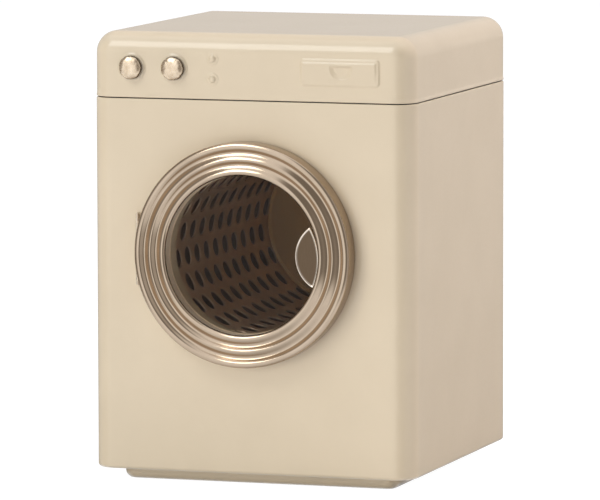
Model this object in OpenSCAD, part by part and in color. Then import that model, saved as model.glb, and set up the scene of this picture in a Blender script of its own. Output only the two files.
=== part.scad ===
// Toy washing machine in painted sheet metal, standing on its plinth.
// Millimetres. X to the right, front face toward -Y, Z up.
// The origin is the middle of the foot print, on the ground.

/* [Body] */
// Width of the cabinet
body_w = 93; // [84:1:110]
// Depth of the cabinet
body_d = 93; // [88:1:115]
// Height from the ground to the top of the cap
body_h = 125; // [118:1:150]
// Radius of the upright corners
corner_r = 6.2; // [5:0.1:9]
// Radius of the edge round the top
top_r = 5.9; // [3:0.1:5.9]
// Thickness of the sheet metal
sheet = 0.5; // [0.4:0.05:0.7]
// Height of the plinth below the cabinet
plinth_h = 3.6; // [3:0.1:6]
// Radius of the plinth's upright corners
plinth_corner = 3.6; // [3:0.1:6]
// How far the plinth stands back from the cabinet sides
plinth_inset = 6.5; // [5:0.5:9]
// Radius of the plinth's lower edge
plinth_r = 2.4; // [1.5:0.1:2.6]
// Radius of the curled lower hem of the cabinet
hem_r = 1; // [0.8:0.1:1.4]
// Distance of the lock seam on the back from the middle
seam_x = 29; // [20:1:34]
// Width of the lock seam on the back
seam_w = 5; // [4:0.5:7]

/* [Cap] */
// Height of the cap above the seam line
cap_h = 18.15; // [17:0.05:24]
// Width of the open line between cap and cabinet
seam_gap = 0.3; // [0.2:0.05:0.5]
// How far the neck reaches into the cap and into the cabinet
neck_reach = 5; // [3:0.5:7]
// Play of pieces that are pushed into each other and stay there
push_gap = 0.05; // [0.03:0.01:0.08]

/* [Controls] */
// Distance of the row of controls below the top
control_drop = 9.7; // [9.2:0.1:10.5]
// Distance of the left knob from the left side
knob_inset = 12.1; // [11:0.1:14]
// Distance between the two knobs
knob_pitch = 12.3; // [10.5:0.1:14]
// Diameter of a knob
knob_d = 6.6; // [5:0.1:7.5]
// Height of a knob's dome
knob_dome = 1.4; // [1:0.1:2.2]
// Thickness of a knob's rim
knob_rim = 0.4; // [0.3:0.1:0.8]
// Diameter of the raised seat round a knob
seat_d = 8.1; // [7.8:0.1:9]
// Height of the raised seats and rings
emboss = 0.35; // [0.2:0.05:0.5]
// Radius of a knob's post
post_r = 0.8; // [0.6:0.05:1]
// Radius of the push-on washer behind a knob
washer_r = 2.2; // [1.8:0.1:2.8]
// Thickness of the push-on washer behind a knob
washer_t = 0.4; // [0.3:0.05:0.6]
// Length of the post behind its washer
post_end = 0.8; // [0.5:0.1:1.2]
// Distance of the pressed buttons from the left side
button_inset = 35.6; // [34:0.1:38]
// Distance between the pressed buttons
button_pitch = 5.6; // [5:0.1:6.5]
// Diameter of the ring of a pressed button
button_d = 3.2; // [2.8:0.1:3.8]
// Diameter of the dome of a pressed button
button_dome_d = 1.9; // [1.4:0.1:2]
// Width of the pressed drawer front
drawer_w = 22.9; // [20:0.1:26]
// Height of the pressed drawer front
drawer_h = 7.7; // [6.6:0.1:8.2]
// Distance of the drawer front from the right side
drawer_inset = 9.2; // [8:0.1:11]
// Height of the drawer front above the panel
drawer_lift = 0.7; // [0.4:0.05:1]
// Width of the step round the drawer front
drawer_step = 0.8; // [0.5:0.1:1.2]
// Radius of the half-moon finger mark in the drawer front
moon_r = 3; // [2:0.1:3.3]

/* [Door] */
// Distance of the door's middle to the right of the cabinet's middle
door_x = -0.8; // [-3:0.1:3]
// Height of the door's middle
door_z = 64.75; // [60:0.05:68]
// Outer radius of the door ring
ring_r = 31.05; // [30:0.05:33]
// Radius of the ring's inner edge
ring_in_r = 22; // [21:0.1:22.6]
// Height of the ring's crests in front of the panel
ring_h = 6.2; // [5.6:0.1:7.5]
// Depth of the ring's valleys below its crests
ring_wave = 1; // [0.8:0.05:1.5]
// Distance of the first and last crests from the ring's edges
crest_edge = 1.1; // [0.8:0.1:1.2]
// Drop of the ring's rounded edges below the crests
rim_drop = 1; // [0.8:0.1:1.4]
// Number of crests across the ring
ring_crests = 3; // [2:1:4]
// Share of the way between two crests at which the valley lies
valley_share = 0.54; // [0.45:0.01:0.6]
// Free gap between the door and the front panel
door_gap = 0.3; // [0.2:0.05:0.5]
// Thickness of the plate at the back of the ring
backing_t = 0.5; // [0.4:0.1:0.7]
// Thickness of the window
window_t = 0.6; // [0.5:0.1:0.9]
// Margin of the window that is held behind the ring
window_lap = 1.1; // [0.9:0.1:1.5]
// Thickness of the soft ring in front of the window
gasket_t = 0.3; // [0.2:0.05:0.4]
// Length of the grip between its two tips
grip_l = 16.7; // [14:0.1:18]
// How far the grip bulges toward the window's middle
grip_in = 4.6; // [3.5:0.1:5.5]
// How far the grip bulges toward the ring
grip_out = 2.05; // [1.5:0.05:2.3]
// Distance of the grip's tips from the ring's inner edge, on the level of the door's middle
grip_inset = 2.25; // [2.2:0.05:4]
// How far the grip's middle lies below the door's middle
grip_drop = 0.05; // [-0.5:0.05:0.6]
// Turn of the grip about its middle, in degrees
grip_turn = 2.9; // [-3:0.1:3]
// Thickness of the grip plate
grip_t = 0.8; // [0.5:0.1:1]
// Height of the foot that carries the grip plate
grip_foot = 2.2; // [1.2:0.1:2.6]
// Radius of the magnet that holds the door shut
magnet_r = 3; // [2:0.1:3.4]
// Thickness of the magnet
magnet_t = 2; // [1.5:0.1:2.6]

/* [Hinge] */
// Radius of the hinge knuckles
knuckle_r = 0.5; // [0.5:0.05:0.75]
// Radius of the hinge pin
hinge_pin_r = 0.25; // [0.2:0.05:0.3]
// Distance of the hinge axis in front of the panel
hinge_out = 1.2; // [1.1:0.05:1.4]
// Gap between the knuckles and the ring's side
hinge_side = 0.1; // [0.1:0.05:0.5]
// Length of the hinge
hinge_len = 19.4; // [16:0.1:24]
// How far the hinge's middle lies above the door's middle
hinge_lift = 0.5; // [-1:0.1:1.5]
// Thickness of the hinge leaves
leaf_t = 0.3; // [0.25:0.05:0.4]
// Width of the hinge leaves
leaf_w = 6; // [4:0.5:7]
// Height of the pin's riveted ends
pin_head_t = 0.3; // [0.2:0.05:0.5]
// Gap between two knuckles on the pin
knuckle_gap = 0.2; // [0.15:0.05:0.4]
// Play of the moving knuckle, knobs and axle on their pins
run_gap = 0.05; // [0.03:0.01:0.08]

/* [Drum] */
// Inner radius of the drum
drum_r = 23.8; // [23.5:0.1:24.5]
// Gap between the drum's mouth and the front panel
drum_front = 4.6; // [3.5:0.1:6]
// Gap between the drum's back plate and the cabinet's back
drum_rear = 3.8; // [3.4:0.1:5]
// How far the collar reaches into the drum
collar_in = 1.4; // [0.8:0.1:2]
// Gap between the collar and the drum
collar_gap = 0.4; // [0.3:0.05:0.6]
// Width of the collar's flange behind the panel
collar_flange = 2.6; // [1.5:0.1:3]
// Diameter of the holes in the drum
hole_d = 5.2; // [3:0.1:5.4]
// Distance between the holes along the drum
hole_pitch = 8; // [7:0.1:10]
// Number of rows of holes round the drum
hole_rows = 20; // [12:2:20]
// Angle between two rows of holes
row_step = 17.2; // [16:0.1:17.8]
// Distance of the first holes from the drum's mouth
hole_start = 5.4; // [4:0.1:7]
// Turn of the first row of holes away from the drum's top, in degrees
first_row = -5.7; // [-9:0.1:9]
// Radius of the axle
axle_r = 1.5; // [1.2:0.1:2]
// Radius of the axle's head
axle_head_r = 3; // [2.4:0.1:4]
// Height of the axle's head
axle_head_t = 1; // [0.6:0.1:1.4]
// Wall of the bush that the axle turns in
bush_wall = 1.5; // [1:0.1:2]
// Width of the bush's flange
bush_flange = 2.5; // [1.5:0.1:4]
// Thickness of the bush's flange
flange_t = 0.6; // [0.4:0.1:1]
// Height of the push-on cap on the axle's end
axle_cap_t = 1; // [0.8:0.1:1.6]
// Radius of the hub washer on the drum's back
hub_r = 7; // [5:0.5:9]
// Thickness of the hub washer
hub_t = 0.6; // [0.5:0.1:0.8]

/* [Hidden] */
$fn = 96;

paint = [0.87, 0.81, 0.70];
gold = [0.68, 0.60, 0.50];
brass = [0.80, 0.66, 0.47];
tin = [0.42, 0.38, 0.33];

// Faces of the cabinet
front_y = -body_d/2;
back_y = body_d/2;
front_in = front_y + sheet;
back_in = back_y - sheet;
seam_z = body_h - cap_h;
wrap_top = seam_z - seam_gap/2;
cap_low = seam_z + seam_gap/2;
control_z = body_h - control_drop;

// Collar and drum
collar_out = drum_r - collar_gap;
collar_r = collar_out - sheet;
drum_y0 = front_y + drum_front;
drum_y1 = back_in - drum_rear + sheet;
hole_y0 = drum_y0 + hole_start;
hole_n = floor((drum_y1 - drum_y0 - hole_start - hole_pitch/2 - 3)/hole_pitch) + 1;

// Axle, bush and cap at the back
hub_y = drum_y1;
bush_y0 = hub_y + hub_t + door_gap;
bush_y1 = back_y + 0.3;
bush_r = axle_r + bush_wall;
cap_y = bush_y1 + door_gap;

// Layers of the door, as heights in front of the panel
back_h = door_gap;
pane_h = back_h + backing_t;
soft_h = pane_h + window_t;
lip_h = soft_h + gasket_t;
window_r = ring_in_r + window_lap;
backing_in = ring_in_r + sheet;
wave_pitch = (ring_r - ring_in_r - 2*crest_edge)/(ring_crests - 1);
crest_0 = ring_in_r + crest_edge;
wave_end = crest_0 + (ring_crests - 1)*wave_pitch;
rim_h = ring_h - rim_drop;

// Hinge
hinge_x = door_x - ring_r - hinge_side - knuckle_r;
hinge_y = front_y - hinge_out;
hinge_z = door_z + hinge_lift;
mid_len = hinge_len/2;
end_len = (hinge_len - mid_len)/2 - knuckle_gap;

// Grip: radii of its two arcs, from their length and bulge
grip_in_r = (grip_l*grip_l/4 + grip_in*grip_in)/(2*grip_in);
grip_out_r = (grip_l*grip_l/4 + grip_out*grip_out)/(2*grip_out);

// Rounded rectangle
module rounded_rect(w, d, r) {
    square([w - 2*r, d], center = true);
    square([w, d - 2*r], center = true);
    for (x = [-1, 1], y = [-1, 1]) {
        translate([x*(w/2 - r), y*(d/2 - r)]) circle(r);
    }
}

// Upright wall that follows a rounded rectangle
module rounded_wall(w, d, r, t, z0, z1) {
    translate([0, 0, z0]) linear_extrude(z1 - z0) difference() {
        rounded_rect(w, d, r);
        rounded_rect(w - 2*t, d - 2*t, r - t);
    }
}

// Half of a rounded upper edge: r is the corner radius, e the edge radius
module edge_profile(r, e, h, back = 0) {
    translate([-back, 0]) square([r - e + back, h]);
    translate([-back, 0]) square([r + back, h - e]);
    intersection() {
        translate([r - e, h - e]) circle(e);
        translate([-back, 0]) square([r + e + back, h]);
    }
}

// Block with upright corners of radius r and an upper edge of radius e
module soft_block(w, d, r, e, h) {
    linear_extrude(h) square([w - 2*r, d - 2*r], center = true);
    for (x = [-1, 1], y = [-1, 1]) {
        translate([x*(w/2 - r), y*(d/2 - r), 0]) rotate_extrude() edge_profile(r, e, h);
    }
    for (a = [0, 180]) {
        rotate([0, 0, a]) translate([w/2 - r, d/2 - r, 0]) rotate([90, 0, 0])
            linear_extrude(d - 2*r) edge_profile(r, e, h, 1);
        rotate([0, 0, a + 90]) translate([d/2 - r, w/2 - r, 0]) rotate([90, 0, 0])
            linear_extrude(w - 2*r) edge_profile(r, e, h, 1);
    }
}

// Round rod laid along a rounded rectangle
module ring_rod(w, d, r, rod) {
    for (i = [0 : 3]) {
        x = (i == 0 || i == 3) ? 1 : -1;
        y = i < 2 ? 1 : -1;
        translate([x*(w/2 - r), y*(d/2 - r), 0]) rotate([0, 0, i*90])
            rotate_extrude(angle = 90) translate([r - rod, 0]) circle(rod, $fn = 32);
    }
    for (x = [-1, 1]) {
        translate([x*(w/2 - rod), -d/2 + r, 0]) rotate([-90, 0, 0])
            cylinder(r = rod, h = d - 2*r, $fn = 32);
    }
    for (y = [-1, 1]) {
        translate([-w/2 + r, y*(d/2 - rod), 0]) rotate([0, 90, 0])
            cylinder(r = rod, h = w - 2*r, $fn = 32);
    }
}

// Cylinder that lies along Y, from y0 to y1
module rod_y(r, y0, y1) {
    translate([0, y0, 0]) rotate([-90, 0, 0]) cylinder(r = r, h = y1 - y0);
}

// Tube that lies along Y
module tube_y(r, bore, y0, y1) {
    difference() {
        rod_y(r, y0, y1);
        rod_y(bore, y0 - 1, y1 + 1);
    }
}

// Places a thing at the middle of the door
module at_door() {
    translate([door_x, 0, door_z]) children();
}

// Profile turned about the door's axis: x is the radius, y the height in front of the panel
module door_turned() {
    at_door() translate([0, front_y, 0]) rotate([90, 0, 0]) rotate_extrude($fn = 128) children();
}

module knob_place(i) {
    translate([-body_w/2 + knob_inset + i*knob_pitch, 0, control_z]) children();
}

// ---- Cabinet ----

// Sheet bent round the cabinet, hem at the foot, lock seam down the back
module cabinet_wrap() {
    color(paint) difference() {
        union() {
            rounded_wall(body_w, body_d, corner_r, sheet, plinth_h + hem_r, wrap_top);
            translate([0, 0, plinth_h + hem_r]) ring_rod(body_w, body_d, corner_r, hem_r);
            translate([seam_x - seam_w/2, back_in + sheet/2, plinth_h + 3*hem_r])
                cube([seam_w, sheet, wrap_top - plinth_h - 4*hem_r]);
        }
        at_door() rod_y(collar_out + push_gap, front_y - 1, front_in + 1);
        at_door() rod_y(bush_r + push_gap, back_in - 1, back_y + 1);
        for (k = [-1, 1]) {
            translate([hinge_x - knuckle_r, front_y - 1, hinge_z + k*(hinge_len/2 - end_len/2)])
                translate([-push_gap, 0, -end_len/2 - push_gap])
                cube([leaf_t + 2*push_gap, sheet + 2, end_len + 2*push_gap]);
        }
    }
}

// Bottom of the cabinet: a tray whose lower part is the plinth
module base_pan() {
    pan_top = plinth_h + 2*hem_r;
    pw = body_w - 2*plinth_inset;
    pd = body_d - 2*plinth_inset;
    pr = plinth_corner;
    fw = body_w - 2*sheet - 2*push_gap;
    fd = body_d - 2*sheet - 2*push_gap;
    color(paint) difference() {
        union() {
            translate([0, 0, pan_top + sheet]) mirror([0, 0, 1])
                soft_block(pw, pd, pr, plinth_r, pan_top + sheet);
            translate([0, 0, pan_top]) linear_extrude(sheet)
                rounded_rect(fw, fd, corner_r - sheet);
        }
        translate([0, 0, pan_top + sheet + 1]) mirror([0, 0, 1])
            soft_block(pw - 2*sheet, pd - 2*sheet, pr - sheet, plinth_r - sheet, pan_top + 1);
    }
}

// ---- Cap ----

// Half moon pressed into the drawer front, flat side up
module half_moon(depth) {
    rotate([-90, 0, 0]) intersection() {
        cylinder(r = moon_r, h = depth);
        translate([-moon_r - 1, -moon_r*0.2, 0]) cube([2*moon_r + 2, 2*moon_r, depth]);
    }
}

module drawer_front() {
    x1 = body_w/2 - drawer_inset;
    translate([x1 - drawer_w/2, front_y, control_z - 0.25]) {
        difference() {
            union() {
                rotate([90, 0, 0]) linear_extrude(drawer_lift*0.6)
                    rounded_rect(drawer_w, drawer_h, 1);
                rotate([90, 0, 0]) linear_extrude(drawer_lift)
                    rounded_rect(drawer_w - 2*drawer_step, drawer_h - 2*drawer_step, 0.6);
            }
            translate([0, -drawer_lift - 1, moon_r*0.4]) half_moon(1 + drawer_lift*0.8);
        }
    }
}

module pressed_button(z) {
    translate([-body_w/2 + button_inset, front_y, z]) rotate([90, 0, 0]) {
        rotate_extrude() translate([button_d/2 - emboss, 0]) circle(emboss, $fn = 24);
        cylinder(d = button_dome_d, h = emboss);
    }
}

// Deep-drawn top with its skirt, raised seats, buttons and drawer front
module top_cap() {
    h = body_h - cap_low;
    color(paint) difference() {
        union() {
            difference() {
                translate([0, 0, cap_low]) soft_block(body_w, body_d, corner_r, top_r, h);
                translate([0, 0, cap_low - 1])
                    soft_block(body_w - 2*sheet, body_d - 2*sheet, corner_r - sheet,
                        top_r - sheet, h + 1 - sheet);
            }
            for (i = [0, 1]) knob_place(i) rod_y(seat_d/2, front_y - emboss, front_y + sheet/2);
            pressed_button(control_z + button_pitch/2);
            pressed_button(control_z - button_pitch/2);
            drawer_front();
        }
        for (i = [0, 1]) knob_place(i) rod_y(post_r + run_gap, front_y - 1, front_in + 1);
    }
}

// Neck pushed into the cap and into the cabinet, behind the seam line
module cap_neck() {
    color(tin) rounded_wall(body_w - 2*sheet - 2*push_gap, body_d - 2*sheet - 2*push_gap,
        corner_r - sheet - push_gap, sheet, seam_z - neck_reach, seam_z + neck_reach);
}

// ---- Mouth and drum ----

// Collar through the front panel, with its flange behind the panel
module mouth_collar() {
    color(paint) at_door() {
        tube_y(collar_out, collar_r, front_y, drum_y0 + collar_in);
        tube_y(collar_out + collar_flange, collar_r, front_in, front_in + sheet);
    }
}

// Perforated sheet rolled into the drum, every second row shifted by half a pitch
module drum_shell() {
    color(tin) at_door() difference() {
        tube_y(drum_r + sheet, drum_r, drum_y0, drum_y1);
        for (i = [0 : hole_rows - 1]) {
            rotate([0, -(row_step*i + first_row), 0])
            for (k = [0 : hole_n - 1]) {
                translate([0, drum_y0 + hole_start + hole_pitch*(k + (i % 2)/2), drum_r - 1])
                    cylinder(d = hole_d, h = sheet + 2, $fn = 24);
            }
        }
    }
}

// Plain disc that closes the drum at the back
module drum_back() {
    color(tin) at_door() tube_y(drum_r, axle_r, drum_y1 - sheet, drum_y1);
}

module drum_hub() {
    color(tin) at_door() tube_y(hub_r, axle_r, hub_y, hub_y + hub_t);
}

// Axle: riveted to the drum's back plate, its head inside the drum
module drum_axle() {
    head_y = drum_y1 - sheet;
    color(gold) at_door() {
        rod_y(axle_head_r, head_y - 0.6*axle_head_t, head_y);
        rod_y(axle_head_r*0.7, head_y - axle_head_t, head_y);
        rod_y(axle_r, head_y - axle_head_t/2, cap_y + 0.6*axle_cap_t);
    }
}

// Flanged bush in the cabinet's back, in which the axle turns
module axle_bush() {
    color(brass) at_door() {
        tube_y(bush_r, axle_r + run_gap, bush_y0, bush_y1);
        tube_y(bush_r + bush_flange, axle_r + run_gap, back_in - flange_t, back_in);
    }
}

// Push-on cap that holds the axle in its bush
module axle_cap() {
    color(tin) at_door() difference() {
        union() {
            rod_y(bush_r, cap_y, cap_y + 0.6*axle_cap_t);
            rod_y(bush_r*0.75, cap_y, cap_y + axle_cap_t);
        }
        rod_y(axle_r, cap_y - 1, cap_y + 0.6*axle_cap_t);
    }
}

// ---- Door ----

// Height of the ring's face at the share u of the way from a crest to the next
function face_h(u) = ring_h - ring_wave/2 + ring_wave/2*cos(180*(u < valley_share ?
    u/valley_share : 1 + (u - valley_share)/(1 - valley_share)));

// Face of the ring from its inner lip out to its side, as points [radius, height]
function face_points(t) = concat(
    [[ring_in_r + t, lip_h], [ring_in_r + t, rim_h - t]],
    [for (i = [0 : 12*(ring_crests - 1)])
        [crest_0 + i*wave_pitch/12, face_h((i % 12)/12) - t]],
    [for (a = [75 : -15 : 0])
        [ring_r - t - (ring_r - t - wave_end)*(1 - cos(a)),
            rim_h - t + (ring_h - rim_h)*sin(a)]],
    [[ring_r - t, back_h]]);

function turned_round(p) = [for (i = [len(p) - 1 : -1 : 0]) p[i]];

// Corrugated ring, pressed from sheet and hollow behind
module door_ring() {
    color(gold) difference() {
        door_turned() polygon(concat(face_points(0), turned_round(face_points(sheet))));
        translate([door_x - ring_r - 1, front_y - pane_h - leaf_t - push_gap, hinge_z - mid_len/2 - push_gap])
            cube([leaf_w, leaf_t + 2*push_gap, mid_len + 2*push_gap]);
    }
}

// Flat plate that closes the back of the ring and holds the window's margin
module door_backing() {
    color(gold) door_turned() translate([backing_in, back_h])
        square([ring_r - sheet - push_gap - backing_in, backing_t]);
}

module door_window() {
    color([0.8, 0.85, 0.85, 0.25]) at_door() rod_y(window_r, front_y - soft_h, front_y - pane_h);
}

module window_gasket() {
    color([0.1, 0.1, 0.1]) door_turned() translate([ring_in_r - 0.1, soft_h])
        square([window_lap, gasket_t]);
}

// Plate bounded by two arcs, set in by the same amount all round
module grip_plan(in) {
    translate([ring_in_r - grip_inset, -grip_drop]) rotate(grip_turn) intersection() {
        translate([grip_out - grip_out_r, 0]) circle(grip_out_r - in);
        translate([grip_in_r - grip_in, 0]) circle(grip_in_r - in);
    }
}

// Grip plate on its foot, standing on the window beside the ring
module door_grip() {
    color(gold) at_door() translate([0, front_y - soft_h, 0]) rotate([90, 0, 0]) {
        linear_extrude(grip_foot) grip_plan(1.2);
        translate([0, 0, grip_foot]) linear_extrude(grip_t) grip_plan(0);
    }
}

// Magnet in the hollow of the ring, opposite the hinge
module door_magnet() {
    color([0.3, 0.3, 0.32]) translate([door_x + (backing_in + ring_r - sheet)/2, 0, door_z])
        rod_y(magnet_r, front_y - pane_h - magnet_t, front_y - pane_h);
}

// ---- Hinge ----

module knuckle(z0, z1) {
    translate([hinge_x, hinge_y, z0]) cylinder(r = knuckle_r, h = z1 - z0, $fn = 48);
}

module hinge_bore(r) {
    translate([hinge_x, hinge_y, hinge_z - hinge_len])
        cylinder(r = r, h = 2*hinge_len, $fn = 48);
}

// Leaf with the two outer knuckles, through slots in the panel and bent behind it
module hinge_leaf_cabinet() {
    color(gold) difference() {
        union() {
            for (k = [-1, 1]) {
                z = hinge_z + k*(hinge_len/2 - end_len/2) - end_len/2;
                knuckle(z, z + end_len);
                translate([hinge_x - knuckle_r, hinge_y, z])
                    cube([leaf_t, front_in + leaf_t - hinge_y, end_len]);
            }
            translate([hinge_x - knuckle_r, front_in, hinge_z - hinge_len/2])
                cube([leaf_w, leaf_t, hinge_len]);
        }
        hinge_bore(hinge_pin_r);
    }
}

// Leaf with the middle knuckle, through the ring's side and onto the backing plate
module hinge_leaf_door() {
    color(gold) difference() {
        union() {
            knuckle(hinge_z - mid_len/2 + knuckle_gap, hinge_z + mid_len/2 - knuckle_gap);
            translate([hinge_x, front_y - pane_h - leaf_t, hinge_z - mid_len/2 + knuckle_gap])
                cube([leaf_w, leaf_t, mid_len - 2*knuckle_gap]);
        }
        hinge_bore(hinge_pin_r + run_gap);
    }
}

// Pin, riveted over at both ends
module hinge_pin() {
    color(gold) {
        translate([hinge_x, hinge_y, hinge_z - hinge_len/2 - pin_head_t])
            cylinder(r = hinge_pin_r, h = hinge_len + 2*pin_head_t, $fn = 48);
        for (z = [-hinge_len/2 - pin_head_t, hinge_len/2]) {
            translate([hinge_x, hinge_y, hinge_z + z])
                cylinder(r = 0.8*knuckle_r, h = pin_head_t, $fn = 48);
        }
    }
}

// ---- Knobs ----

// Domed head: part of a ball on a flat rim
module knob_head() {
    base_y = front_y - emboss - door_gap;
    dome_r = knob_d/2 - 0.1;
    ball = (dome_r*dome_r + knob_dome*knob_dome)/(2*knob_dome);
    color(brass) translate([0, base_y, 0]) rotate([90, 0, 0]) difference() {
        union() {
            cylinder(d = knob_d, h = knob_rim);
            rotate_extrude() intersection() {
                translate([0, knob_rim + knob_dome - ball]) circle(ball);
                square([dome_r, knob_rim + knob_dome + 1]);
            }
        }
        translate([0, 0, -1]) cylinder(r = post_r, h = 1 + knob_rim, $fn = 48);
    }
}

module knob_post() {
    color(brass) rod_y(post_r, front_y - emboss - door_gap - knob_rim,
        front_in + door_gap + washer_t + post_end);
}

module knob_washer() {
    color(tin) tube_y(washer_r, post_r, front_in + door_gap, front_in + door_gap + washer_t);
}

module knob_left() { knob_place(0) knob_head(); }
module knob_right() { knob_place(1) knob_head(); }
module knob_post_left() { knob_place(0) knob_post(); }
module knob_post_right() { knob_place(1) knob_post(); }
module knob_washer_left() { knob_place(0) knob_washer(); }
module knob_washer_right() { knob_place(1) knob_washer(); }

cabinet_wrap();
base_pan();
top_cap();
cap_neck();
mouth_collar();
drum_shell();
drum_back();
drum_hub();
drum_axle();
axle_bush();
axle_cap();
door_ring();
door_backing();
door_window();
window_gasket();
door_grip();
door_magnet();
hinge_leaf_cabinet();
hinge_leaf_door();
hinge_pin();
knob_left();
knob_right();
knob_post_left();
knob_post_right();
knob_washer_left();
knob_washer_right();
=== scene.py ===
# Toy washing machine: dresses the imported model. Metres, front toward -Y, Z up.
import bmesh
import bpy
import math
import numpy as np
from mathutils import Matrix, Vector


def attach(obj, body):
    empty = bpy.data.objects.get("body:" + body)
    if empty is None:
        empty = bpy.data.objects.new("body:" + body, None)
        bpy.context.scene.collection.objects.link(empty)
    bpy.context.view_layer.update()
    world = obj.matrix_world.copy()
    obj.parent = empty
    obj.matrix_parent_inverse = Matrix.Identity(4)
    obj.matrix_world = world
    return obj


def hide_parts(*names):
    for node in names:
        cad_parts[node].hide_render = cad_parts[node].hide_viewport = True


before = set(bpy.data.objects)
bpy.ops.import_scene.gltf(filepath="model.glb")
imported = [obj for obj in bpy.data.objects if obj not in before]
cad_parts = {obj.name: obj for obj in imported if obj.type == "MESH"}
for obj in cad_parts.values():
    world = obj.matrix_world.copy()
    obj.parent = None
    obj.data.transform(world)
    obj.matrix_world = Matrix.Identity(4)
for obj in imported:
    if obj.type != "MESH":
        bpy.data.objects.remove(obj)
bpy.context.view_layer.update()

mm = 0.001
tau = 2 * math.pi

# what several pieces share, in millimetres
cabinet = {
    "width": 93.0, "depth": 93.0, "height": 125.0, "cornerRadius": 6.2, "cornerSteps": 14, "sheet": 0.5,
    "seamHeight": 106.85, "seamGap": 0.3,  # open line between the cap and the cabinet
}
frontY = -cabinet["depth"] / 2
doorAxis = (-0.8, 64.75)  # x and z of the line that the door and the drum are turned about


def makePiece(name, points, quads, tris=None, body=None, material=None, replaces=()):
    # points in millimetres; every piece is smooth shaded, its tight edges are real small bends
    mesh = bpy.data.meshes.new(name)
    points = np.asarray(points, float).reshape(-1, 3) * mm
    quads = np.asarray(quads, int).reshape(-1, 4)
    tris = np.zeros((0, 3), int) if tris is None else np.asarray(tris, int).reshape(-1, 3)
    mesh.vertices.add(len(points))
    mesh.vertices.foreach_set("co", points.ravel())
    corners = np.concatenate([quads.ravel(), tris.ravel()])
    starts = np.concatenate([np.arange(len(quads)) * 4, len(quads) * 4 + np.arange(len(tris)) * 3])
    mesh.loops.add(len(corners))
    mesh.loops.foreach_set("vertex_index", corners)
    mesh.polygons.add(len(starts))
    mesh.polygons.foreach_set("loop_start", starts)
    mesh.polygons.foreach_set("use_smooth", np.ones(len(starts), bool))
    mesh.update(calc_edges=True)
    mesh.validate()
    piece = bpy.data.objects.new(name, mesh)
    bpy.context.scene.collection.objects.link(piece)
    if material:
        mesh.materials.append(material)
    if body:
        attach(piece, body)
    if replaces:
        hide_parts(*replaces)
    return piece


def secondMaterial(piece, material, faces):
    # gives the faces marked True another material
    piece.data.materials.append(material)
    piece.data.polygons.foreach_set("material_index", np.asarray(faces, int))


def markPoints(piece, name, values):
    # one number for each point, for the piece's material to read
    layer = piece.data.attributes.new(name, "FLOAT", "POINT")
    layer.data.foreach_set("value", np.asarray(values, np.float32).ravel())


def weldPiece(piece, distance=0.00001):
    # joins points that lie on each other, then turns every face outward
    work = bmesh.new()
    work.from_mesh(piece.data)
    bmesh.ops.remove_doubles(work, verts=work.verts, dist=distance)
    bmesh.ops.recalc_face_normals(work, faces=work.faces)
    for face in work.faces:
        face.smooth = True
    work.to_mesh(piece.data)
    work.free()


def gridQuads(rows, cols, closeRows=False, closeCols=False, first=0):
    # faces of a grid whose point (i, j) has the number first + i*cols + j
    i = np.arange(rows if closeRows else rows - 1)
    j = np.arange(cols if closeCols else cols - 1)
    i, j = np.meshgrid(i, j, indexing="ij")
    i2, j2 = (i + 1) % rows, (j + 1) % cols
    corners = [i * cols + j, i * cols + j2, i2 * cols + j2, i2 * cols + j]
    return (first + np.stack(corners, -1)).reshape(-1, 4)


def fan(first, count, apex, flip=False, step=1):
    # triangles from a closed row of count points, numbered from first, to the point apex
    here = first + step * np.arange(count)
    after = np.roll(here, -1)
    ends = (after, here) if flip else (here, after)
    return np.stack([*ends, np.full(count, apex)], 1)


def smoothStep(low, high, x):
    # 0 up to low, 1 from high, an S-curve between; with low above high it falls instead
    t = np.clip((x - low) / (high - low), 0, 1)
    return t * t * (3 - 2 * t)


def band(x, a, b, c, d):
    # 0 up to a, 1 from b to c, 0 from d
    return smoothStep(a, b, x) * (1 - smoothStep(c, d, x))


def arc(cx, cy, r, a0, a1, n):
    # n points of a circle's arc, angles in degrees
    a = np.radians(np.linspace(a0, a1, n))
    return np.stack([cx + r * np.cos(a), cy + r * np.sin(a)], 1)


def cleanSteps(low, high, step):
    # even positions from low to high, about one step apart
    return np.linspace(low, high, max(2, int(round((high - low) / step)) + 1))


def stepsWithZones(low, high, zones, fine, coarse):
    # positions from low to high: fine steps inside the zones, coarse ones between them
    edges = [low, *(edge for zone in zones for edge in zone), high]
    steps = [fine if k % 2 else coarse for k in range(len(edges) - 1)]
    parts = [cleanSteps(a, b, step)[:-1] for a, b, step in zip(edges, edges[1:], steps)]
    return np.append(np.concatenate(parts), high)


def roundedPath(frontX, sideStep, backX):
    # closed path round the cabinet's plan, anticlockwise seen from above, and its outward directions
    points, normals = [], []
    hw, hd, r = cabinet["width"] / 2, cabinet["depth"] / 2, cabinet["cornerRadius"]
    side = cleanSteps(-hd + r, hd - r, sideStep)

    def straight(x, y, nx, ny):
        points.append(np.stack([x + 0 * y, y + 0 * x], 1))
        normals.append(np.tile([nx, ny], (len(x + y), 1)))

    def corner(cx, cy, a0):
        a = np.radians(np.linspace(a0, a0 + 90, cabinet["cornerSteps"] + 1))[1:-1]
        points.append(np.stack([cx + r * np.cos(a), cy + r * np.sin(a)], 1))
        normals.append(np.stack([np.cos(a), np.sin(a)], 1))

    straight(frontX, np.full(len(frontX), -hd), 0, -1)
    corner(hw - r, -hd + r, -90)
    straight(np.full(len(side), hw), side, 1, 0)
    corner(hw - r, hd - r, 0)
    straight(backX[::-1], np.full(len(backX), hd), 0, 1)
    corner(-hw + r, hd - r, 90)
    straight(np.full(len(side), -hw), side[::-1], -1, 0)
    corner(-hw + r, -hd + r, 180)
    return np.concatenate(points), np.concatenate(normals)


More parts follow.
